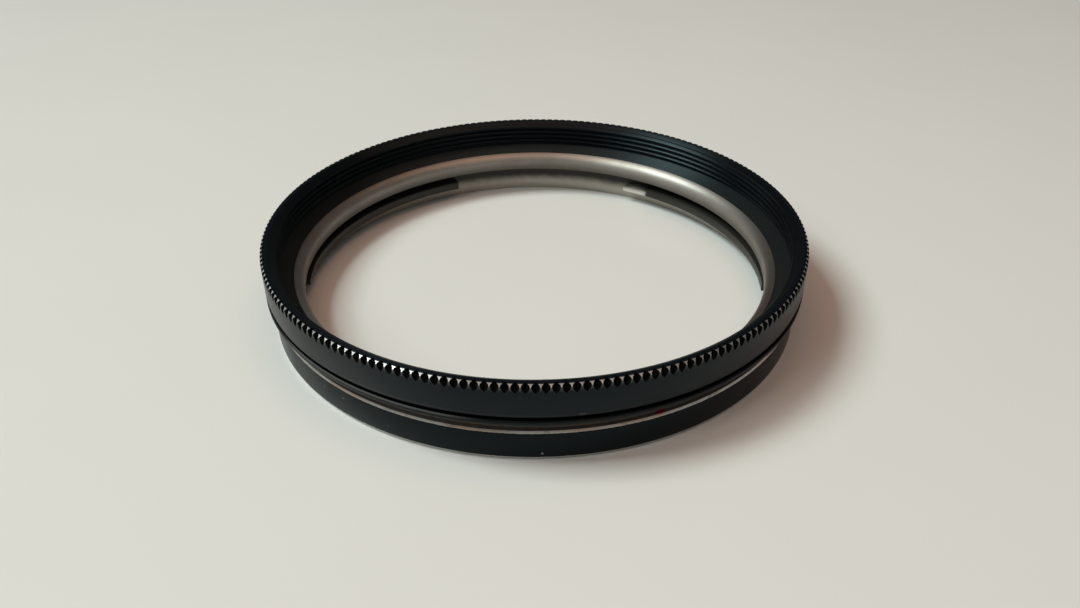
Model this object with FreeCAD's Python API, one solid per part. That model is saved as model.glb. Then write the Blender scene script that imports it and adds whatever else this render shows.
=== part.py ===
import FreeCAD, Part
import math
import os

# A two-piece lens mounting ring, standing on its lens side with the optical axis up along +Z.
# The bayonet ring grips the lens. The knurled front ring screws into it and carries a filter thread.
# All sizes are in millimetres and degrees, and the origin is the middle of the bottom face.

# Heights of the stack
total_height = 10.7
shoulder_height = 6.35
flange_height = 4.05
flange_thickness = 0.6

# Front ring
front_radius = 35.0
foot_chamfer = 0.15
rim_bevel = 0.27
rim_width = 0.6
mouth_depth = 0.62
mouth_wall = 1.9
thread_foot_height = 7.15

# Knurl across the front ring's bevelled edge, from its rim to its wall
knurl_count = 210
knurl_rim_reach = 0.3
knurl_wall_reach = 0.8
knurl_flank_angle = 51.0

# Screw joint: the boss of the front ring in the channel of the bayonet ring
head_overhang = 2.0
boss_wall = 1.55
screw_clearance = 0.05
screw_end_gap = 0.1

# Outside of the bayonet ring, from the table up
band_setback = 0.75
bottom_bevel_height = 0.5
bottom_bevel_width = 0.4
band_top = 3.76
strip_height = 0.34
strip_slope = 0.13
undercut_depth = 0.3
undercut_rise = 0.15
lip_setback = 0.4
lip_thickness = 0.17
shadow_gap = 0.65
land_setback = 1.0

# Inside of the bayonet ring: the bright neck with a rounded top, and the bayonet below its flange
neck_wall = 1.2
neck_round_height = 1.2
neck_round_steps = 3
groove_depth = 1.6
groove_height = 1.15
lug_setback = 0.05
lug_thickness = 1.15
lug_count = 3
lug_span = 68.5
lug_start = 113.6
ramp_length = 4.2
ramp_drop = 0.55

# Radii and heights that follow from the sizes above
filter_thread_radius = front_radius - mouth_wall
screw_radius = front_radius - head_overhang
boss_bore_radius = screw_radius - boss_wall
band_radius = front_radius - band_setback
lip_radius = front_radius - lip_setback
land_radius = front_radius - land_setback
socket_radius = screw_radius + screw_clearance
neck_radius = boss_bore_radius - screw_clearance
throat_radius = neck_radius - neck_wall
groove_radius = throat_radius + groove_depth
lug_radius = throat_radius + lug_setback
channel_floor = flange_height + flange_thickness
boss_end = channel_floor + screw_end_gap
lug_top = flange_height - groove_height
lug_bottom = lug_top - lug_thickness

ORIGIN = FreeCAD.Vector(0, 0, 0)
UP = FreeCAD.Vector(0, 0, 1)
RADIAL = FreeCAD.Vector(1, 0, 0)
FULL_TURN = 360.0


def turned(corners, angle=FULL_TURN):
    """Solid turned about Z from a closed outline of (radius, height) corners."""
    points = [FreeCAD.Vector(radius, 0, height) for radius, height in corners]
    return Part.Face(Part.makePolygon(points + points[:1])).revolve(ORIGIN, UP, angle)


def rounded_neck(top):
    """Corners of the neck's rounded top, from its outside to the throat, as a quarter of an ellipse."""
    corners = []
    for step in range(neck_round_steps + 1):
        tilt = math.radians(90.0 * step / neck_round_steps)
        inward = neck_wall * math.sin(tilt)
        down = neck_round_height * (1 - math.cos(tilt))
        corners.append((neck_radius - inward, top - down))
    return corners


def around(shape, count, first_angle=0.0):
    """Copies of a shape, spaced evenly about Z."""
    copies = []
    for number in range(count):
        copy = shape.copy()
        copy.rotate(ORIGIN, UP, first_angle + number * FULL_TURN / count)
        copies.append(copy)
    return copies


def front_blank():
    """Front ring before knurling: head, threaded mouth, sloping ledge and a boss that screws downwards."""
    rim_outer = front_radius - rim_bevel
    corners = [
        (front_radius - foot_chamfer, shoulder_height),
        (front_radius, shoulder_height + foot_chamfer),
        (front_radius, total_height - rim_bevel),
        (rim_outer, total_height),
        (rim_outer - rim_width, total_height),
        (filter_thread_radius, total_height - mouth_depth),
        (filter_thread_radius, thread_foot_height),
        (boss_bore_radius, shoulder_height),
        (boss_bore_radius, boss_end),
        (screw_radius, boss_end),
        (screw_radius, shoulder_height),
    ]
    return turned(corners)


def knurl_notch():
    """V cutter whose root crosses the bevelled edge as a chord, so that the notch fades at both ends."""
    root_top = FreeCAD.Vector(front_radius - rim_bevel - knurl_rim_reach, 0, total_height)
    root_foot = FreeCAD.Vector(front_radius, 0, total_height - rim_bevel - knurl_wall_reach)
    root = root_foot - root_top
    outward = FreeCAD.Vector(-root.z, 0, root.x).normalize()
    depth = 2 * rim_bevel
    sideways = FreeCAD.Vector(0, depth * math.tan(math.radians(knurl_flank_angle)), 0)
    apex = root_top - root
    mouth = apex + outward * depth
    section = Part.makePolygon([apex, mouth + sideways, mouth - sideways, apex])
    return Part.Face(section).extrude(root * 3)


def bayonet_blank():
    """Bayonet ring before milling: painted band, strip, flare, lip, channel, neck, groove and lug ring."""
    strip_top = band_top + strip_height
    strip_top_radius = band_radius - strip_slope
    lip_top = shoulder_height - shadow_gap
    outside = [
        (groove_radius, 0),
        (band_radius - bottom_bevel_width, 0),
        (band_radius, bottom_bevel_height),
        (band_radius, band_top),
        (strip_top_radius, strip_top),
        (strip_top_radius - undercut_depth, strip_top + undercut_rise),
        (lip_radius, lip_top - lip_thickness),
        (lip_radius, lip_top),
        (land_radius, lip_top),
        (land_radius, shoulder_height),
    ]
    channel = [
        (socket_radius, shoulder_height),
        (socket_radius, channel_floor),
        (neck_radius, channel_floor),
    ]
    bayonet = [
        (throat_radius, flange_height),
        (groove_radius, flange_height),
        (groove_radius, lug_top),
        (lug_radius, lug_top),
        (lug_radius, lug_bottom),
        (groove_radius, lug_bottom),
    ]
    return turned(outside + channel + rounded_neck(shoulder_height) + bayonet)


def lug_gap():
    """Cutter for the gap that follows a lug, through which a lug of the lens enters."""
    inside = lug_radius - lug_thickness
    corners = [(inside, lug_bottom), (groove_radius, lug_bottom), (groove_radius, lug_top), (inside, lug_top)]
    return turned(corners, FULL_TURN / lug_count - lug_span)


def lug_ramp():
    """Cutter for the slope on top of a lug's leading end."""
    corners = [
        FreeCAD.Vector(0, -ramp_length, lug_top),
        FreeCAD.Vector(0, 0, lug_top - ramp_drop),
        FreeCAD.Vector(0, 0, lug_top),
    ]
    slope = Part.Face(Part.makePolygon(corners + corners[:1])).extrude(RADIAL * front_radius)
    return slope.common(Part.makeCylinder(groove_radius, total_height))


lug_end = lug_start + lug_span
front_ring = front_blank().cut(around(knurl_notch(), knurl_count))
milling = around(lug_gap(), lug_count, lug_end) + around(lug_ramp(), lug_count, lug_end)
bayonet_ring = bayonet_blank().cut(milling).removeSplitter()

os.makedirs("parts", exist_ok=True)
front_ring.exportStep("parts/front_ring.step")
bayonet_ring.exportStep("parts/bayonet_ring.step")
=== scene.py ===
# %% [markdown]
# A lens mounting ring stands on a pale table. It is made of two turned pieces.
# The bayonet ring below grips the lens with three inward lugs, and the black front ring above it carries a knurl
# and a filter thread. The solids have the right sizes already, so this lesson builds each ring again as a finer
# mesh of nearly the same shape, gives it a finish, and lights it. The solids are loaded first and never moved.

# %% Load the frame
import math

import bmesh
import bpy
from mathutils import Matrix, Vector


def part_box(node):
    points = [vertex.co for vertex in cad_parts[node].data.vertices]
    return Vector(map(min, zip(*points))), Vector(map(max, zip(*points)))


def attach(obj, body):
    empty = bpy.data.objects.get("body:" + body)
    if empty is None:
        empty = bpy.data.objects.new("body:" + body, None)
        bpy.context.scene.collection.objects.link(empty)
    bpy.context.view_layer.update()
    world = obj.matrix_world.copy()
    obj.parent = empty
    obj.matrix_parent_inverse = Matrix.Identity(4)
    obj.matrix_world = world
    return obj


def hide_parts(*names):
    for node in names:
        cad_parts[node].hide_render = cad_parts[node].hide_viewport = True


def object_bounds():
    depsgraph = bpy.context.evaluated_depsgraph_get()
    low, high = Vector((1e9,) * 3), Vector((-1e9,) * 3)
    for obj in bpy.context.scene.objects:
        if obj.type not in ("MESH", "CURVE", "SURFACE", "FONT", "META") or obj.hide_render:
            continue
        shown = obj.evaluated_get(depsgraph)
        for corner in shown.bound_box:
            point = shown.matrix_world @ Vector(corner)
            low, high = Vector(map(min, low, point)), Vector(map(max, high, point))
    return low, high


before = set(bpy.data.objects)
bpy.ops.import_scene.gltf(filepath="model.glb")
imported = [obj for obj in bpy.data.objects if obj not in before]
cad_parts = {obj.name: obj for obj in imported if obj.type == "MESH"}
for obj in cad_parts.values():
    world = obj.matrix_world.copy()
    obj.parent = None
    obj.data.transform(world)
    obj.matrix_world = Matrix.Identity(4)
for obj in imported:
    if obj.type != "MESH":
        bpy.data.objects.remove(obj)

cad_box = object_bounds()
box_sides = [round(side, 4) for side in cad_box[1] - cad_box[0]]
print("solids:", ", ".join(sorted(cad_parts)), "in a box of", box_sides, "m")

# %% [markdown]
# A turned piece is all radii and heights. They are written in millimetres, as a machinist would read them off a
# drawing, and each mesh is scaled to metres once it is finished. The outside radius and the heights where the two
# rings end come from the frame, so that the meshes sit exactly where the solids do.

# %% Sizes that both rings share
MM = 0.001
FULL_TURN = 2 * math.pi
AXIS = Vector((0, 0, 1))
CENTRE = Vector((0, 0, 0))

front_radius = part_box("front_ring")[1].x / MM
total_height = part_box("front_ring")[1].z / MM
shoulder_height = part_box("bayonet_ring")[1].z / MM
boss_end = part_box("front_ring")[0].z / MM
print(f"outside radius {front_radius:.2f} mm, height {total_height:.2f} mm, shoulder at {shoulder_height:.2f} mm")

# %% [markdown]
# Materials are built from nodes. Written one by one, the nodes hide the idea behind them, so a small class wraps a
# socket and lets Python's operators add the Math nodes: `1 - mask` reads like the formula. One method adds any
# other kind of node, sets its options first, and then fills its sockets with numbers or links.

# %% A socket that Python can calculate with
class Shade:
    """A value in a material: operators add Math nodes, and node() adds any other node."""

    def __init__(self, socket):
        self.socket = socket

    def node(self, kind, settings, sockets, output=0):
        tree = self.socket.id_data
        node = tree.nodes.new(kind)
        for name, value in settings.items():
            setattr(node, name, value)
        for name, value in sockets.items():
            if isinstance(value, Shade):
                tree.links.new(value.socket, node.inputs[name])
            else:
                node.inputs[name].default_value = value
        return Shade(node.outputs[output])

    def maths(self, operation, first, second=0.0):
        return self.node("ShaderNodeMath", {"operation": operation}, {0: first, 1: second})

    def __add__(self, other):
        return self.maths("ADD", self, other)

    def __sub__(self, other):
        return self.maths("SUBTRACT", self, other)

    def __mul__(self, other):
        return self.maths("MULTIPLY", self, other)

    def __truediv__(self, other):
        return self.maths("DIVIDE", self, other)

    def __radd__(self, other):
        return self.maths("ADD", other, self)

    def __rsub__(self, other):
        return self.maths("SUBTRACT", other, self)

    def __rmul__(self, other):
        return self.maths("MULTIPLY", other, self)

    def rise(self, low, high):
        """0 below low, 1 above high, and smooth between them."""
        ends = {"Value": self, "From Min": low, "From Max": high}
        return self.node("ShaderNodeMapRange", {"interpolation_type": "SMOOTHSTEP"}, ends)

    def blend(self, off, on):
        """A colour that goes from off to on as this mask goes from 0 to 1."""
        return self.node("ShaderNodeMix", {"data_type": "RGBA"}, {0: self, 6: off, 7: on}, output=2)

# %% [markdown]
# Every finish on a turned ring follows the lathe: fine tool lines run round the axis, and wear sits at a height or
# on an edge. So each material starts from the place on the ring, in millimetres, as radius, height and angle.
# Object coordinates give that place, because every finished mesh keeps its place in its own vertices.

# %% The place on the ring, and the patterns that follow it
class Turned:
    """A new material with its shader, and the place on the ring as values in millimetres and radians."""

    def __init__(self, name):
        self.material = bpy.data.materials.new(name)
        self.material.use_nodes = True
        self.shader = self.material.node_tree.nodes["Principled BSDF"]
        corner = Shade(self.material.node_tree.nodes.new("ShaderNodeTexCoord").outputs["Object"])
        self.place = corner.node("ShaderNodeVectorMath", {"operation": "SCALE"}, {0: corner, "Scale": 1 / MM})
        self.across = self.place.node("ShaderNodeSeparateXYZ", {}, {0: self.place}, output=0)
        self.along = self.place.node("ShaderNodeSeparateXYZ", {}, {0: self.place}, output=1)
        self.height = self.place.node("ShaderNodeSeparateXYZ", {}, {0: self.place}, output=2)
        self.radius = self.place.maths("POWER", self.across * self.across + self.along * self.along, 0.5)
        self.angle = self.place.maths("ARCTAN2", self.along, self.across)

    def cloud(self, scale, detail=3.0):
        """Soft noise whose patches are about 1 / scale millimetres wide."""
        return self.place.node("ShaderNodeTexNoise", {}, {"Vector": self.place, "Scale": scale, "Detail": detail})

    def tool_lines(self, lines_per_mm):
        """Noise that changes quickly with radius and height and slowly round the ring."""
        lathe = {0: self.radius * lines_per_mm, 1: self.height * lines_per_mm, 2: self.across * 0.12}
        where = self.place.node("ShaderNodeCombineXYZ", {}, lathe)
        return self.place.node("ShaderNodeTexNoise", {}, {"Vector": where, "Scale": 1.0, "Detail": 4.0})

    def spot(self, degrees, height, half_width, half_height, soft=0.45):
        """A small oval mark at an angle and height on the outside."""
        aside = (self.angle - math.radians(degrees)) * front_radius / half_width
        above = (self.height - height) / half_height
        reach = self.place.maths("POWER", aside * aside + above * above, 0.5)
        return 1 - reach.rise(1 - soft, 1 + soft)

    def set(self, **values):
        """Set or link the shader's sockets, named with underscores for spaces."""
        for name, value in values.items():
            socket = self.shader.inputs[name.replace("_", " ")]
            if isinstance(value, Shade):
                self.material.node_tree.links.new(value.socket, socket)
            else:
                socket.default_value = value

    def bump(self, height, depth_mm):
        """Raise the surface by a pattern, depth_mm from its 0 to its 1."""
        sockets = {"Height": height, "Strength": 1.0, "Distance": depth_mm * MM}
        return self.place.node("ShaderNodeBump", {}, sockets)

# %% [markdown]
# The front ring is blue-black with a satin gloss. Handling polishes such a finish unevenly, so its roughness drifts
# in large soft patches, and the tool marks under the black show as a very fine bump. Those marks run round the ring
# and spread a reflection across them, into a streak from rim to ledge: that is what the anisotropy does here.
# The narrow lands that the knurl leaves on the bevel have lost their black and flash like small mirrors. A mask by
# radius and height finds them, because nothing else of this material lies on the bevel. Their wear runs out down
# the wall, and it is uneven from land to land.

# %% Black satin of the front ring
ACROSS_LINES = 0.25
rim_bevel = 0.27
rim_radius = front_radius - rim_bevel
crest_height = total_height - rim_bevel

def make_black_satin():
    satin = Turned("black_satin")
    lines = satin.tool_lines(9.0)
    patches = satin.cloud(0.22)
    outside = satin.radius.rise(rim_radius - 0.03, rim_radius + 0.05)
    on_bevel = satin.height.rise(crest_height - 0.07, crest_height + 0.03)
    down_wall = satin.height.rise(crest_height - 0.68, crest_height + 0.02)
    lands = on_bevel * 0.8 + down_wall * 0.2
    uneven = 0.65 + satin.cloud(0.8).rise(0.3, 0.6) * 0.35
    nick = satin.spot(degrees=-82.1, height=6.72, half_width=0.4, half_height=0.08) * 0.12
    bare = (lands * uneven + nick) * outside
    black = patches.blend((0.0010, 0.0026, 0.0048, 1), (0.0018, 0.0038, 0.0060, 1))
    satin.set(Base_Color=bare.blend(black, (0.70, 0.69, 0.68, 1)))
    satin.set(Metallic=bare * 0.95)
    satin.set(Roughness=0.26 + patches * 0.10 + lines * 0.05 + bare * 0.06)
    satin.set(Specular_IOR_Level=0.22, Specular_Tint=(0.74, 0.94, 1.0, 1))
    satin.set(Anisotropic=0.8, Anisotropic_Rotation=ACROSS_LINES)
    satin.set(Normal=satin.bump(lines, 0.004))
    return satin.material

black_satin = make_black_satin()
print("finish:", black_satin.name, "with", len(black_satin.node_tree.nodes), "nodes")

# %% [markdown]
# The mouth with its thread and ledge has the same black, but cloths never reach into it. A film of dust makes it
# greyer where the light falls straight on it, and the thread keeps its gloss.

# %% Dusty black of the mouth
ledge_height = 7.15

def make_mouth_black():
    mouth = Turned("mouth_black")
    lines = mouth.tool_lines(9.0)
    dust = mouth.cloud(3.0, 5.0)
    ledge = 1 - mouth.height.rise(ledge_height - 0.15, ledge_height + 0.15)
    film = (0.3 + dust * 0.7) * (0.06 + ledge * 0.7)
    mouth.set(Base_Color=film.blend((0.0005, 0.0010, 0.0016, 1), (0.0195, 0.0225, 0.0222, 1)))
    mouth.set(Roughness=0.29 + lines * 0.06 + film * 0.12)
    mouth.set(Specular_IOR_Level=0.25, Specular_Tint=(0.62, 0.86, 1.0, 1))
    mouth.set(Anisotropic=0.8, Anisotropic_Rotation=ACROSS_LINES)
    mouth.set(Normal=mouth.bump(lines, 0.003))
    return mouth.material

mouth_black = make_mouth_black()
print("finish:", mouth_black.name)

# %% [markdown]
# In the knurl's notches and in the narrow land under the front ring the black is untouched. There, and on the lowest
# band of the front ring's foot, a second black is matt and almost without gloss: it is painted shade, for the shade
# in the notches and in the joint between the rings. A second black on those faces is simpler than a mask that would
# have to find two hundred notches.

# %% Matt black as painted shade in the notches and under the front ring
def make_painted_shade_black():
    matt = Turned("painted_shade_black")
    dust = matt.cloud(2.5)
    # painted shade: a near-black finish with almost no gloss
    matt.set(Base_Color=dust.blend((0.0008, 0.0009, 0.0011, 1), (0.003, 0.003, 0.003, 1)))
    matt.set(Roughness=0.5 + dust * 0.2)
    matt.set(Specular_IOR_Level=0.04)
    return matt.material

painted_shade_black = make_painted_shade_black()
print("finish:", painted_shade_black.name)

# %% [markdown]
# The strip above the painted band and the bevel at the table are bare turned metal. Bare metal is a mirror broken up
# by tool lines, so most of its look is roughness and bump. Old metal tarnishes in warm patches, and dirt keeps to
# corners, where fingers and cloths do not reach it. The bevel at the table is rubbed bright, and its colour is raised
# further as a painted reflection of the table, which a bevel that faces down would not show. The red index dot, which
# shows where the lens goes in, reaches from the cove above onto the strip; there it is partly paint that has run over
# and partly a painted reflection of the dot in the bright metal, so its place is written here and the cove uses it
# too. The cove's black has also run a little over the strip's top edge.

# %% Bare turned metal
band_foot = 0.5
strip_top = 4.1
index_angle = -66.9
index_height = 4.24
index_half_width = 0.60
index_half_height = 0.30

def index_dot(finish):
    """Mask of the index dot, with a ragged edge."""
    ragged = finish.cloud(3.0) - 0.5
    dot = finish.spot(index_angle, index_height, index_half_width, index_half_height)
    return (dot + ragged * 0.25).rise(0.35, 0.6)

def make_bare_metal():
    metal = Turned("bare_metal")
    lines = metal.tool_lines(7.0)
    tarnish = metal.cloud(0.16).rise(0.40, 0.62)
    dirt = metal.cloud(1.4, 5.0).rise(0.5, 0.75)
    bright = tarnish.blend((0.52, 0.51, 0.495, 1), (0.50, 0.39, 0.325, 1))
    soiled = (dirt * 0.6).blend(bright, (0.16, 0.13, 0.11, 1))
    overrun = metal.height.rise(strip_top - 0.08, strip_top - 0.04)
    painted = overrun.blend(soiled, (0.004, 0.004, 0.004, 1))
    # painted reflection: the bevel at the table is lighter than rubbed metal alone would be
    foot = 1 - metal.height.rise(band_foot - 0.2, band_foot + 0.1)
    rubbed_and_lit = foot.blend(painted, (0.85, 0.83, 0.80, 1))
    # on the strip the dot is partly run-over paint and partly a painted reflection of the dot
    dot = index_dot(metal) * 0.55
    metal.set(Base_Color=dot.blend(rubbed_and_lit, (0.30, 0.03, 0.06, 1)))
    metal.set(Metallic=(1 - dot) * (1 - overrun))
    metal.set(Roughness=0.26 + lines * 0.12 + dirt * 0.1)
    metal.set(Anisotropic=0.6, Anisotropic_Rotation=ACROSS_LINES)
    metal.set(Normal=metal.bump(lines, 0.005))
    return metal.material

bare_metal = make_bare_metal()
print("finish:", bare_metal.name)

# %% [markdown]
# The neck is the broad bright ring inside. Its metal is duller and warmer than the strip's, with a blasted surface
# that spreads the window into one long soft highlight. So its roughness is high, and its colour is that of old
# nickel. Its colour darkens towards the throat: that is painted shade, for the shade low on the neck.

# %% Dull warm metal of the neck
flange_height = 4.05

def make_neck_metal():
    neck = Turned("neck_metal")
    lines = neck.tool_lines(5.0)
    stain = neck.cloud(0.3, 4.0).rise(0.4, 0.8)
    nickel = stain.blend((0.45, 0.42, 0.388, 1), (0.38, 0.35, 0.32, 1))
    # painted shade: the colour darkens towards the throat
    painted_throat_shade = 1 - neck.height.rise(flange_height + 0.05, shoulder_height - 0.35)
    neck.set(Base_Color=painted_throat_shade.blend(nickel, (0.15, 0.138, 0.122, 1)))
    neck.set(Metallic=1.0)
    neck.set(Roughness=0.44 + lines * 0.1 + stain * 0.05)
    neck.set(Anisotropic=0.7, Anisotropic_Rotation=ACROSS_LINES)
    neck.set(Normal=neck.bump(lines, 0.003))
    return neck.material

neck_metal = make_neck_metal()
print("finish:", neck_metal.name)

# %% [markdown]
# The wall of the recess behind the lugs is bare metal towards the table and black at its top, under the neck's
# flange. The black top is painted shade, for the shade under the flange. A mask by height mixes the two.

# %% Recess wall behind the lugs
bare_below = 1.0
black_above = 2.7

def make_recess_wall():
    recess = Turned("recess_wall")
    patches = recess.cloud(0.8, 4.0)
    # painted shade: black at the top under the flange, bare metal towards the table
    metal_and_painted_light = 1 - (recess.height + (patches - 0.5) * 0.5).rise(bare_below, black_above)
    recess.set(Base_Color=metal_and_painted_light.blend((0.020, 0.018, 0.015, 1), (0.50, 0.46, 0.41, 1)))
    recess.set(Metallic=metal_and_painted_light * 0.9)
    recess.set(Roughness=0.42 + patches * 0.14)
    recess.set(Specular_IOR_Level=0.35)
    recess.set(Normal=recess.bump(recess.tool_lines(5.0), 0.004))
    return recess.material

recess_wall = make_recess_wall()
print("finish:", recess_wall.name)

# %% [markdown]
# The bead under the front ring and the cove below it are painted black, and most of the index dot sits low in the
# cove. The same mask with the same place makes both parts of the dot, so they meet on the strip's edge. The foot of
# the cove is greyer: a cloud of dust, with a colour raised further as painted light for the light that the foot
# catches. On the left a thin bright metal line on the top of the bead is a painted highlight, for the glint of the
# window on the bead's edge.

# %% Black cove with the red index dot and a painted highlight on the bead
bead_top = 5.97
bead_foot = 5.42
glint_start = (-2.60, -2.45)
glint_end = (-1.86, -1.72)
dust_and_light_line = (4.6, 5.2)

def make_cove_black():
    cove = Turned("cove_black")
    dust = cove.cloud(1.1, 4.0)
    # painted highlight: the side of the bead where the window glints
    glint_side = cove.angle.rise(*glint_start) * (1 - cove.angle.rise(*glint_end))
    bead_crown = cove.height.rise(bead_top - 0.22, bead_top - 0.12)
    # painted highlight: a thin bright metal line on the top of the bead on that side
    metal_and_painted_light = glint_side * bead_crown * 0.15
    # dust, and painted light: the foot of the cove is made greyer and lighter
    dust_and_painted_light = (0.5 + dust * 0.5) * (1 - cove.height.rise(*dust_and_light_line))
    black = dust_and_painted_light.blend((0.0020, 0.0027, 0.0032, 1), (0.110, 0.088, 0.068, 1))
    marked = index_dot(cove).blend(black, (0.15, 0.004, 0.017, 1))
    cove.set(Base_Color=metal_and_painted_light.blend(marked, (0.50, 0.49, 0.475, 1)))
    cove.set(Metallic=metal_and_painted_light)
    cove.set(Roughness=0.28 + dust * 0.16 + bead_crown * 0.3)
    cove.set(Specular_IOR_Level=0.20, Specular_Tint=(0.85, 0.95, 1.0, 1))
    cove.set(Normal=cove.bump(cove.tool_lines(6.0), 0.004))
    return cove.material

cove_black = make_cove_black()
print("finish:", cove_black.name)

# %% [markdown]
# The broad band of the bayonet ring is painted black between bright edges. The paint has worn back from both edges
# in a ragged line and has a few scratches. A wear mask that mixes paint and metal in one material keeps the chips
# and the paint on the same smooth surface.

# %% Black paint on the band
band_top = 3.76

def make_band_paint():
    paint = Turned("band_paint")
    fine = paint.cloud(5.0, 4.0)
    patches = paint.cloud(0.3)
    ragged = (fine - 0.5) * 0.16
    low_edge = 1 - (paint.height + ragged).rise(band_foot - 0.02, band_foot + 0.04)
    top_edge = (paint.height + ragged).rise(band_top - 0.04, band_top)
    upright = paint.spot(degrees=-134.5, height=2.6, half_width=0.06, half_height=0.25)
    level = paint.spot(degrees=-129.0, height=2.6, half_width=0.25, half_height=0.08)
    pit = paint.spot(degrees=-88.9, height=1.0, half_width=0.12, half_height=0.14)
    specks = paint.cloud(2.2, 5.0).rise(0.735, 0.76)
    chips = (upright + level) * 0.2 + pit * 0.6 + specks * 0.5
    bare = paint.place.maths("MINIMUM", low_edge + top_edge + chips, 1.0)
    black = patches.blend((0.0008, 0.0030, 0.0048, 1), (0.0020, 0.0045, 0.0062, 1))
    paint.set(Base_Color=bare.blend(black, (0.45, 0.42, 0.38, 1)))
    paint.set(Metallic=bare)
    paint.set(Roughness=0.24 + patches * 0.14 + fine * 0.06)
    paint.set(Specular_IOR_Level=0.14, Specular_Tint=(0.75, 0.95, 1.0, 1))
    paint.set(Normal=paint.bump(fine - bare * 0.6, 0.006))
    return paint.material

band_paint = make_band_paint()
print("finish:", band_paint.name)

# %% [markdown]
# The lugs are blackened to a dark olive brown. The leading end of one of them takes the knocks when the lens is
# fitted, and it is rubbed bright. It is brightest at its lower edge: that part is a painted highlight, for the
# table's reflection in the edge. A mask by angle and height finds that end.

# %% Blackened lugs with one bright end
lug_count = 3
lug_span = math.radians(68.5)
lug_start = math.radians(113.6)
lug_top = 2.9
lug_bottom = 1.75
bright_end = math.radians(62.1)
bright_length = math.radians(7.5)

def make_lug_black():
    lug = Turned("lug_black")
    lines = lug.tool_lines(6.0)
    ragged = (lug.cloud(1.3, 4.0) - 0.5) * 0.05
    end = (lug.angle + ragged).rise(bright_end - bright_length - 0.01, bright_end - bright_length + 0.02)
    rubbed_and_lit = end * (1 - lug.angle.rise(bright_end + 0.01, bright_end + 0.02))
    # painted highlight: the rubbed end is brightest at its lower edge
    rubbed_and_lit = rubbed_and_lit * (1 - lug.height.rise(lug_bottom + 0.3, lug_top))
    lug.set(Base_Color=rubbed_and_lit.blend((0.019, 0.0175, 0.0135, 1), (0.70, 0.68, 0.64, 1)))
    lug.set(Metallic=rubbed_and_lit)
    lug.set(Roughness=0.34 + lines * 0.14)
    lug.set(Specular_IOR_Level=0.4)
    lug.set(Normal=lug.bump(lines, 0.005))
    return lug.material

lug_black = make_lug_black()
print("finish:", lug_black.name)

# %% [markdown]
# Both rings start as an outline: the cut through one side of the ring, drawn in the XZ plane as vertices joined by
# edges. A vertex bevel eases or rounds a corner of that outline before it is spun, which costs almost nothing.
# Bevelling the finished ring instead would mean picking out whole loops of edges.

# %% Outlines, and the last steps that every ring needs
def outline(bm, corners, easing):
    """Join named (radius, height) corners into a loop, and round those that easing names."""
    points = {name: bm.verts.new((radius, 0, height)) for name, (radius, height) in corners.items()}
    ring = list(points.values())
    for start, end in zip(ring, ring[1:] + ring[:1]):
        bm.edges.new((start, end))
    for name, (size, segments) in easing.items():
        corner = [points[name]]
        bmesh.ops.bevel(bm, geom=corner, offset=size, segments=segments, profile=0.5, affect="VERTICES", material=-1)

def everything(bm):
    return bm.verts[:] + bm.edges[:] + bm.faces[:]

def from_axis(face):
    """Radius and height of a face's middle."""
    middle = face.calc_center_median()
    return middle.xy.length, middle.z

SHARP_ANGLE = math.radians(24)

def finished(bm, name, node, body, finishes):
    """Make the mesh a smooth-shaded object in metres that stands for a solid and rides on its body."""
    bmesh.ops.scale(bm, vec=(MM, MM, MM), verts=bm.verts)
    bmesh.ops.recalc_face_normals(bm, faces=bm.faces)
    for face in bm.faces:
        face.smooth = True
    for edge in bm.edges:
        one_finish = len({face.material_index for face in edge.link_faces}) == 1
        edge.smooth = one_finish and edge.calc_face_angle(0) < SHARP_ANGLE
    mesh = bpy.data.meshes.new(name)
    bm.to_mesh(mesh)
    bm.free()
    for finish in finishes:
        mesh.materials.append(finish)
    piece = bpy.data.objects.new(name, mesh)
    bpy.context.scene.collection.objects.link(piece)
    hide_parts(node)
    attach(piece, body)
    print(f"{name}: {len(mesh.polygons)} faces on body {body}")

# %% [markdown]
# The front ring's knurl is 210 hollows cut across its bevelled top edge. All hollows are alike, so only one is
# modelled: the outline is spun through one hollow's share of the turn, which gives a thin wedge of the whole ring
# with five columns of vertices. The hollow goes into that wedge, and a second spin repeats the wedge.

# %% One wedge of the front ring
front_finishes = [black_satin, painted_shade_black, mouth_black]
knurl_count = 210
knurl_pitch = FULL_TURN / knurl_count
rim_width = 0.6
mouth_radius = rim_radius - rim_width
flare_drop = 0.62
flare_width = 1.03
mouth_slope = flare_drop / flare_width
thread_major_radius = 33.5
boss_bore_radius = 31.45
screw_radius = 33.0
foot_inset = 0.16
foot_taper = 0.55
foot_edge_inset = 0.01
foot_edge_drop = 0.05
# the matt black of painted shade covers the front ring's foot up to this height
painted_shade_foot = 0.12
painted_shade_foot_share = 0.77
hollow_rim_reach = 0.3
hollow_wall_reach = 0.8

rim = (rim_radius, total_height)
crest = (front_radius, crest_height)
hollow_top = (rim_radius - hollow_rim_reach, total_height)
hollow_foot = (front_radius, crest_height - hollow_wall_reach)
below_crest = (front_radius, crest_height - hollow_wall_reach / 2)
mid_bevel = (front_radius - rim_bevel / 2, total_height - rim_bevel / 2)

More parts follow.
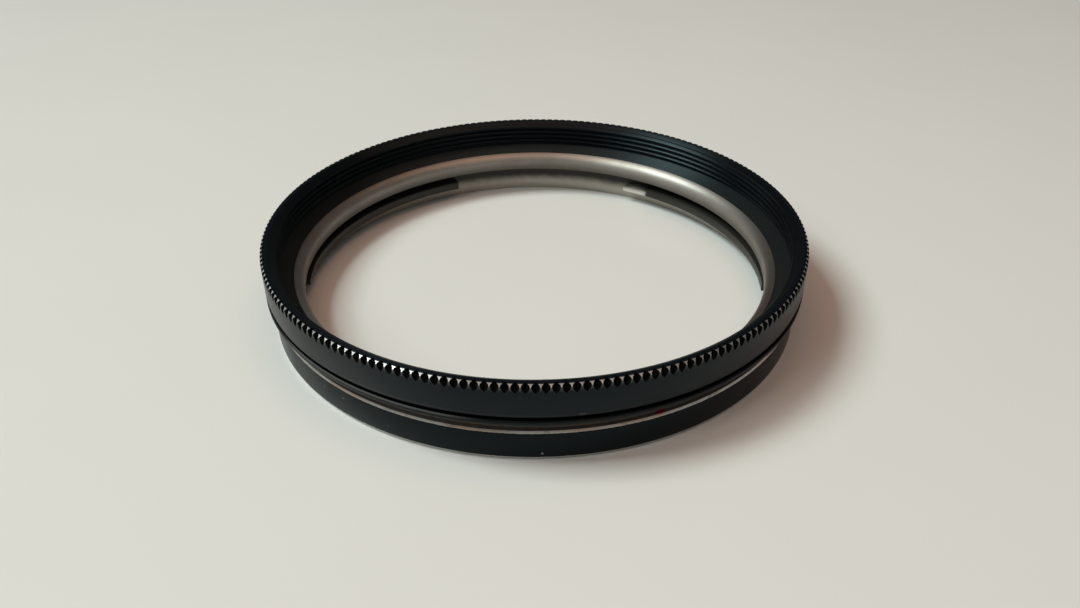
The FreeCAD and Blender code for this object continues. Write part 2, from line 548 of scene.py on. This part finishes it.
wedge = bmesh.new()
outline(wedge, {
    "foot": (front_radius - foot_inset, shoulder_height),
    "painted_shade_foot": (front_radius - foot_inset * painted_shade_foot_share, shoulder_height + painted_shade_foot),
    "foot_edge": (front_radius - foot_edge_inset, shoulder_height + foot_taper - foot_edge_drop),
    "wall": (front_radius, shoulder_height + foot_taper),
    "hollow_foot": hollow_foot,
    "below_crest": below_crest,
    "crest": crest,
    "mid_bevel": mid_bevel,
    "rim": rim,
    "hollow_top": hollow_top,
    "mouth": (mouth_radius, total_height),
    "thread_wall": (thread_major_radius, total_height - (mouth_radius - thread_major_radius) * mouth_slope),
    "ledge_foot": (thread_major_radius, ledge_height),
    "ledge_edge": (boss_bore_radius, shoulder_height),
    "boss_bore": (boss_bore_radius, boss_end),
    "boss_end": (screw_radius, boss_end),
    "shoulder": (screw_radius, shoulder_height),
}, {"mouth": (0.06, 2), "ledge_edge": (0.1, 3), "ledge_foot": (0.12, 2)})
bmesh.ops.spin(wedge, geom=everything(wedge), cent=CENTRE, axis=AXIS, angle=knurl_pitch, steps=4)
print("wedge:", len(wedge.faces), "faces over", round(math.degrees(knurl_pitch), 3), "degrees")

# %% [markdown]
# A round cutter leaves a leaf-shaped hollow: a point on the rim, its full width at the crest, and a point on the
# wall. So the second and fourth columns are turned outwards, most at the crest, and new edges join the two points to
# the sides. The middle column then goes in, square to the straight line between the points, to the hollow's root.
# Each row of the list gives a corner of the outline, the hollow's width there and its depth, as shares of the most.

# %% Cut the hollow
hollow_share = 0.89
hollow_depth = 0.376
root_inward = 0.883
root_downward = 0.470
into_root = Matrix.Rotation(knurl_pitch / 2, 3, "Z") @ Vector((-root_inward, 0, -root_downward))

def column(bm, number):
    """The wedge's vertices that stand at a quarter of the pitch."""
    angle = knurl_pitch * number / 4
    return [vert for vert in bm.verts if abs(math.atan2(vert.co.y, vert.co.x) - angle) < knurl_pitch / 16]

def nearest(verts, corner):
    """The vertex of a column at a (radius, height) corner."""
    return min(verts, key=lambda vert: (Vector((vert.co.xy.length, vert.co.z)) - Vector(corner)).length)

left, middle, right = column(wedge, 1), column(wedge, 2), column(wedge, 3)
hollow_rows = [(rim, 0.52, 0.705), (mid_bevel, 0.90, 0.853), (crest, 1.0, 1.0), (below_crest, 0.80, 0.5)]
sides = {corner: (nearest(left, corner), nearest(right, corner)) for corner, width, depth in hollow_rows}
roots = {corner: nearest(middle, corner) for corner, width, depth in hollow_rows}
for corner, width, depth in hollow_rows:
    aside = knurl_pitch * (hollow_share * width / 2 - 0.25)
    for vert, turn in zip(sides[corner], (-aside, aside)):
        bmesh.ops.rotate(wedge, verts=[vert], cent=CENTRE, matrix=Matrix.Rotation(turn, 3, "Z"))
for corner, end in ((rim, hollow_top), (below_crest, hollow_foot)):
    for side in sides[corner]:
        bmesh.ops.connect_verts(wedge, verts=[nearest(middle, end), side])
for corner, width, depth in hollow_rows:
    bmesh.ops.translate(wedge, vec=into_root * hollow_depth * depth, verts=[roots[corner]])
hollow = {face for root in roots.values() for face in root.link_faces}
for face in wedge.faces:
    radius, height = from_axis(face)
    # painted shade: the notches and the lowest band of the foot get the matt black
    if face in hollow or (radius > screw_radius and height < shoulder_height + painted_shade_foot):
        face.material_index = front_finishes.index(painted_shade_black)
    elif radius < mouth_radius:
        face.material_index = front_finishes.index(mouth_black)
print("hollow:", len(hollow), "faces,", round(hollow_share * math.degrees(knurl_pitch), 2), "degrees wide")

# %% [markdown]
# Away from the hollow the three inner columns have no use, and they would be repeated 210 times. Dissolving them
# leaves one face for each step of the outline.

# %% Dissolve the columns that do nothing
margin = 0.01

def beside_hollow(vert):
    return vert.co.xy.length > hollow_top[0] - margin and vert.co.z > hollow_foot[1] - margin

spare = [edge for line in (left, middle, right) for edge in wedge.edges
         if set(line).issuperset(edge.verts) and not all(beside_hollow(vert) for vert in edge.verts)]
bmesh.ops.dissolve_edges(wedge, edges=spare, use_verts=True)
print("wedge:", len(wedge.faces), "faces")

# %% [markdown]
# A spin that duplicates its geometry sets copies of the wedge side by side. Neighbours share their side columns, so
# merging vertices that lie together closes the ring, and a count of open edges shows whether it did.

# %% Repeat the wedge round the ring
merge_distance = 0.002
bmesh.ops.spin(wedge, geom=everything(wedge), cent=CENTRE, axis=AXIS, angle=FULL_TURN - knurl_pitch,
               steps=knurl_count - 1, use_duplicate=True)
bmesh.ops.remove_doubles(wedge, verts=wedge.verts, dist=merge_distance)
open_edges = sum(edge.is_boundary for edge in wedge.edges)
print("front ring before threading:", len(wedge.faces), "faces,", open_edges, "open edges")

# %% [markdown]
# The filter thread is a ridge that climbs 0.75 mm a turn. A spin with a step along the axis, its dvec, makes a true
# helix from the ridge's own small outline. The ridge's foot sinks slightly into the wall, so that no gap shows there.

# %% Cut the filter thread
thread_pitch = 0.75
thread_depth = 0.42
thread_steps = 240
thread_turns = 3.6
thread_start_height = 7.48
ridge_half_width = 0.36
ridge_reach = 0.56
sink = 0.03

thread = bmesh.new()
outline(thread, {
    "low_root": (thread_major_radius + sink, -ridge_half_width),
    "crest": (thread_major_radius - ridge_reach, 0),
    "high_root": (thread_major_radius + sink, ridge_half_width),
}, {"crest": (0.3, 6)})
bmesh.ops.translate(thread, vec=(0, 0, thread_start_height), verts=thread.verts)
section = len(thread.verts)
bmesh.ops.spin(thread, geom=everything(thread), cent=CENTRE, axis=AXIS, dvec=AXIS * thread_pitch / thread_steps,
               angle=FULL_TURN * thread_turns, steps=round(thread_turns * thread_steps))
bmesh.ops.holes_fill(thread, edges=thread.edges)
print("thread:", round(thread_turns, 2), "turns,", len(thread.faces), "faces")

# %% [markdown]
# The thread's start sinks into the wall over a few steps, as a thread mill leaves it. At the other end the ridge runs
# into the flared mouth, so every vertex that would stand inside the flare is moved out to it.

# %% Fade the thread's start, and turn it back at the mouth
thread_fade_steps = 30
thread.verts.ensure_lookup_table()
for step in range(thread_fade_steps):
    here = thread.verts[section * step:section * (step + 1)]
    outwards = here[0].co.xy.normalized().to_3d()
    fade = (1 - step / thread_fade_steps) ** 2
    bmesh.ops.translate(thread, vec=outwards * (thread_depth + sink) * fade, verts=here)
for vert in thread.verts:
    flare = mouth_radius - (total_height - vert.co.z) / mouth_slope + sink
    if vert.co.xy.length < flare:
        vert.co.xy = vert.co.xy.normalized() * flare
for face in thread.faces:
    face.material_index = front_finishes.index(mouth_black)
ridge = bpy.data.meshes.new("thread_ridge")
thread.to_mesh(ridge)
thread.free()
wedge.from_mesh(ridge)
finished(wedge, "front_ring_knurled", "front_ring", "front", front_finishes)

# %% [markdown]
# The bayonet ring is one outline spun through a full turn. Going round it from the table up: bevel, painted band,
# sloping strip, cove, rounded bead, the land under the front ring, the channel that takes the front ring's
# boss, the rounded neck, the throat, and the groove. The neck's round top is one vertex bevel of many segments.
# A face's middle tells which finish it has: the band and the cove lie in their own heights outside. The land under
# the front ring gets the matt black that paints the shade of the joint.

# %% Turn the bayonet ring
ring_finishes = [bare_metal, band_paint, cove_black, neck_metal, recess_wall, lug_black, painted_shade_black]
bayonet_steps = 360
outer_margin = 0.02
inner_margin = 0.05
band_radius = 34.25
foot_bevel = 0.4
strip_radius = 34.12
undercut_depth = 0.3
undercut_rise = 0.15
bead_radius = front_radius
land_radius = 34.5
cove_radius = 33.9
cove_height = 4.75
socket_radius = 33.05
channel_floor = 4.65
neck_radius = 31.4
throat_radius = 30.2
groove_radius = 31.8

ring = bmesh.new()
outline(ring, {
    "inner_foot": (groove_radius, 0),
    "foot": (band_radius - foot_bevel, 0),
    "band_foot": (band_radius, band_foot),
    "band_top": (band_radius, band_top),
    "strip_top": (strip_radius, strip_top),
    "undercut": (strip_radius - undercut_depth, strip_top + undercut_rise),
    "cove": (cove_radius, cove_height),
    "bead_foot": (bead_radius, bead_foot),
    "bead_top": (bead_radius, bead_top),
    "land_foot": (land_radius, bead_top),
    "land": (land_radius, shoulder_height),
    "socket": (socket_radius, shoulder_height),
    "socket_floor": (socket_radius, channel_floor),
    "neck_foot": (neck_radius, channel_floor),
    "neck_side": (neck_radius, shoulder_height),
    "neck_round": (throat_radius, shoulder_height),
    "throat_edge": (throat_radius, flange_height),
    "groove_roof": (groove_radius, flange_height),
    "groove_foot": (groove_radius, lug_bottom),
}, {
    "foot": (0.06, 2),
    "band_foot": (0.05, 2),
    "band_top": (0.04, 2),
    "strip_top": (0.05, 2),
    "undercut": (0.1, 3),
    "cove": (0.3, 4),
    "bead_foot": (0.12, 3),
    "bead_top": (0.2, 5),
    "neck_round": (1.15, 12),
    "throat_edge": (0.1, 2),
})
bmesh.ops.spin(ring, geom=everything(ring), cent=CENTRE, axis=AXIS, angle=FULL_TURN, steps=bayonet_steps,
               use_merge=True)
for face in ring.faces:
    radius, height = from_axis(face)
    if radius > band_radius - outer_margin and band_foot < height < band_top:
        face.material_index = ring_finishes.index(band_paint)
    # painted shade: the land under the front ring gets the matt black
    elif radius > socket_radius and height > bead_top - outer_margin:
        face.material_index = ring_finishes.index(painted_shade_black)
    elif radius > socket_radius and height > strip_top:
        face.material_index = ring_finishes.index(cove_black)
    elif radius < neck_radius + inner_margin and height > flange_height:
        face.material_index = ring_finishes.index(neck_metal)
    elif radius < groove_radius + inner_margin:
        face.material_index = ring_finishes.index(recess_wall)
open_edges = sum(edge.is_boundary for edge in ring.edges)
print("bayonet ring before its lugs:", len(ring.faces), "faces,", open_edges, "open edges")

# %% [markdown]
# Each lug is a square section spun through 68.5 degrees and closed at both ends. A tilted cutting plane planes the
# ramp off the top of its leading end. The plane rises away from there, so it leaves the rest of the lug alone.
# The lugs reach slightly into the groove's wall, so that no light shows between them.

# %% Make one lug and copy it twice
lug_radius = 30.25
lug_overlap = 0.1
lug_steps = 72
ramp_length = 4.2
ramp_drop = 0.55

lug = bmesh.new()
outline(lug, {
    "low_edge": (lug_radius, lug_bottom),
    "low_back": (groove_radius + lug_overlap, lug_bottom),
    "high_back": (groove_radius + lug_overlap, lug_top),
    "high_edge": (lug_radius, lug_top),
}, {"low_edge": (0.08, 2), "high_edge": (0.08, 2)})
bmesh.ops.spin(lug, geom=everything(lug), cent=CENTRE, axis=AXIS, angle=-lug_span, steps=lug_steps)
bmesh.ops.holes_fill(lug, edges=lug.edges)
ramp_top = Vector((0, -ramp_length, lug_top))
ramp_normal = Vector((0, ramp_drop, ramp_length)).normalized()
bmesh.ops.bisect_plane(lug, geom=everything(lug), plane_co=ramp_top, plane_no=ramp_normal, clear_outer=True)
ramp = bmesh.ops.holes_fill(lug, edges=[edge for edge in lug.edges if edge.is_boundary])
for face in lug.faces:
    face.material_index = ring_finishes.index(lug_black)
bmesh.ops.rotate(lug, verts=lug.verts, cent=CENTRE, matrix=Matrix.Rotation(lug_start + lug_span, 3, "Z"))
bmesh.ops.spin(lug, geom=everything(lug), cent=CENTRE, axis=AXIS, angle=FULL_TURN * (lug_count - 1) / lug_count,
               steps=lug_count - 1, use_duplicate=True)
lugs = bpy.data.meshes.new("lugs")
lug.to_mesh(lugs)
lug.free()
ring.from_mesh(lugs)
print("lugs:", len(lugs.polygons), "faces, ramp faces", len(ramp["faces"]))
finished(ring, "bayonet_ring_turned", "bayonet_ring", "base", ring_finishes)

# %% [markdown]
# The table is a wide, slightly glossy, warm white sheet. A little gloss gives the soft mirror image of the ring in
# front of it, and a faint cloud in the roughness keeps it from looking like a computer's white.

# %% Table
def make_table_white():
    table = Turned("table_white")
    wear = table.cloud(0.03)
    table.set(Base_Color=wear.blend((0.775, 0.775, 0.76, 1), (0.80, 0.80, 0.785, 1)))
    table.set(Roughness=0.2 + wear * 0.1)
    table.set(Specular_IOR_Level=0.35)
    return table.material

table_half_width = 1.5
table_mesh = bpy.data.meshes.new("table")
table_sheet = bmesh.new()
bmesh.ops.create_grid(table_sheet, x_segments=1, y_segments=1, size=table_half_width)
table_sheet.to_mesh(table_mesh)
table_sheet.free()
table_mesh.materials.append(make_table_white())
table = bpy.data.objects.new("table", table_mesh)
bpy.context.scene.collection.objects.link(table)
print("table:", 2 * table_half_width, "m wide")

# %% [markdown]
# The light is a soft window lamp, high on the left, with a weaker one towards the viewer, a weak warm lamp on the
# ceiling, a large dim one behind the viewer and a dark room. The window's place decides where the shadow falls. The
# weaker one makes the lands of the knurl flash and the neck shine, and the ceiling's warmth is what the shadow shows.
# The dim lamp gives the lands on the right something to reflect, and a low one behind does so for those on the left.

# %% Lamps and room
def add_lamp(name, size, power, colour, turn, rise, distance):
    """A square lamp that faces the ring, turned from the left towards the viewer and raised above the table."""
    data = bpy.data.lights.new(name, "AREA")
    data.shape = "SQUARE"
    data.size = size
    data.energy = power
    data.color = colour
    flat = Vector((-math.cos(math.radians(turn)), -math.sin(math.radians(turn)), 0))
    towards = flat * math.cos(math.radians(rise)) + AXIS * math.sin(math.radians(rise))
    lamp = bpy.data.objects.new(name, data)
    lamp.location = towards * distance
    lamp.rotation_euler = towards.to_track_quat("Z", "Y").to_euler()
    bpy.context.scene.collection.objects.link(lamp)
    print("lamp:", name, power, "W at", [round(side, 2) for side in lamp.location])

add_lamp("window", size=0.45, power=10.4, colour=(0.875, 1.0, 0.955), turn=-4, rise=54, distance=1.2)
add_lamp("far_window", size=0.32, power=1.8, colour=(0.9, 1.0, 0.97), turn=36, rise=42, distance=1.2)
add_lamp("ceiling", size=1.2, power=4.1, colour=(1.0, 0.58, 0.38), turn=180, rise=86, distance=1.2)
add_lamp("low_window", size=0.5, power=0.6, colour=(0.95, 1.0, 0.98), turn=-31, rise=12, distance=1.2)
add_lamp("viewer_side", size=1.6, power=1.4, colour=(0.96, 0.97, 1.0), turn=110, rise=38, distance=1.4)

room = bpy.data.worlds.new("room")
room.use_nodes = True
room.node_tree.nodes["Background"].inputs["Color"].default_value = (0.07, 0.068, 0.066, 1)
bpy.context.scene.world = room
bpy.context.scene.view_settings.view_transform = "Standard"

# %% [markdown]
# The camera was found by fitting circles of known size to the ring's edges. It looks down at 33 degrees from about
# 130 mm away with the view of a short lens, which is why the near side of the ring looks so much larger.

# %% Camera
image_width = 1080
focal_pixels = 950
camera_height = 69.33
camera_distance = 110.15
camera_pitch = 0.57673
camera_yaw = 0.00617
camera_roll = -0.00361

camera_data = bpy.data.cameras.new("camera")
camera_data.sensor_width = 36.0
camera_data.sensor_fit = "HORIZONTAL"
camera_data.lens = camera_data.sensor_width * focal_pixels / image_width
camera_data.clip_start = 0.01
camera = bpy.data.objects.new("camera", camera_data)
aim = Matrix.Rotation(-camera_yaw, 4, "Z") @ Matrix.Rotation(math.pi / 2 - camera_pitch, 4, "X")
place = Matrix.Translation(Vector((0, -camera_distance, camera_height)) * MM)
camera.matrix_world = place @ aim @ Matrix.Rotation(camera_roll, 4, "Z")
bpy.context.scene.collection.objects.link(camera)
bpy.context.scene.camera = camera
print("camera:", round(camera_data.lens, 2), "mm lens at", [round(side, 4) for side in camera.location])
